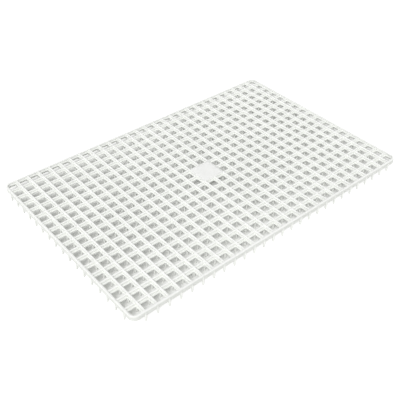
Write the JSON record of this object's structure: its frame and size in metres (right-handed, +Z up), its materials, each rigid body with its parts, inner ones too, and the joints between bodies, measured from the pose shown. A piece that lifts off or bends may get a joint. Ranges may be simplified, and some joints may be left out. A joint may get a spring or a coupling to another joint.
{
  "type": "plug tray",
  "caption": "Flat white moulded lattice tray with open square plug cells, a shallow rounded rim, a closed centre panel and a field of tapered pins underneath.",
  "frame": {"origin": "middle of the tray's outline on the plane of the pin tips, which is the plane it stands on", "axes": "+X along the length, +Y across the width, +Z up out of the open face of the cells"},
  "size_m": [0.5652, 0.3652, 0.02],
  "materials": {
    "white_plastic": "satin moulded polypropylene, slightly warm white"
  },
  "bodies": {
    "root": {"back_rim": "white_plastic", "back_rim_pins": "white_plastic", "centre_plate": "white_plastic", "cross_rib_01": "white_plastic", "cross_rib_02": "white_plastic", "cross_rib_03": "white_plastic", "cross_rib_04": "white_plastic", "cross_rib_05": "white_plastic", "cross_rib_06": "white_plastic", "cross_rib_07": "white_plastic", "cross_rib_08": "white_plastic", "cross_rib_09": "white_plastic", "cross_rib_10": "white_plastic", "cross_rib_11": "white_plastic", "cross_rib_12": "white_plastic", "cross_rib_13": "white_plastic", "cross_rib_14": "white_plastic", "cross_rib_15": "white_plastic", "cross_rib_16": "white_plastic", "cross_rib_17": "white_plastic", "cross_rib_18": "white_plastic", "cross_rib_19": "white_plastic", "cross_rib_20": "white_plastic", "cross_rib_21": "white_plastic", "cross_rib_22": "white_plastic", "cross_rib_23": "white_plastic", "cross_rib_24": "white_plastic", "cross_rib_25": "white_plastic", "cross_rib_26": "white_plastic", "cross_rib_27": "white_plastic", "front_rim": "white_plastic", "front_rim_pins": "white_plastic", "lattice_pins": "white_plastic", "left_rim": "white_plastic", "left_rim_pins": "white_plastic", "long_rib_01": "white_plastic", "long_rib_02": "white_plastic", "long_rib_03": "white_plastic", "long_rib_04": "white_plastic", "long_rib_05": "white_plastic", "long_rib_06": "white_plastic", "long_rib_07": "white_plastic", "long_rib_08": "white_plastic", "long_rib_09": "white_plastic", "long_rib_10": "white_plastic", "long_rib_11": "white_plastic", "long_rib_12": "white_plastic", "long_rib_13": "white_plastic", "long_rib_14": "white_plastic", "long_rib_15": "white_plastic", "long_rib_16": "white_plastic", "long_rib_17": "white_plastic", "right_rim": "white_plastic", "right_rim_pins": "white_plastic", "rim_corner_back_left": "white_plastic", "rim_corner_back_right": "white_plastic", "rim_corner_front_left": "white_plastic", "rim_corner_front_right": "white_plastic"}
  },
  "joints": []
}
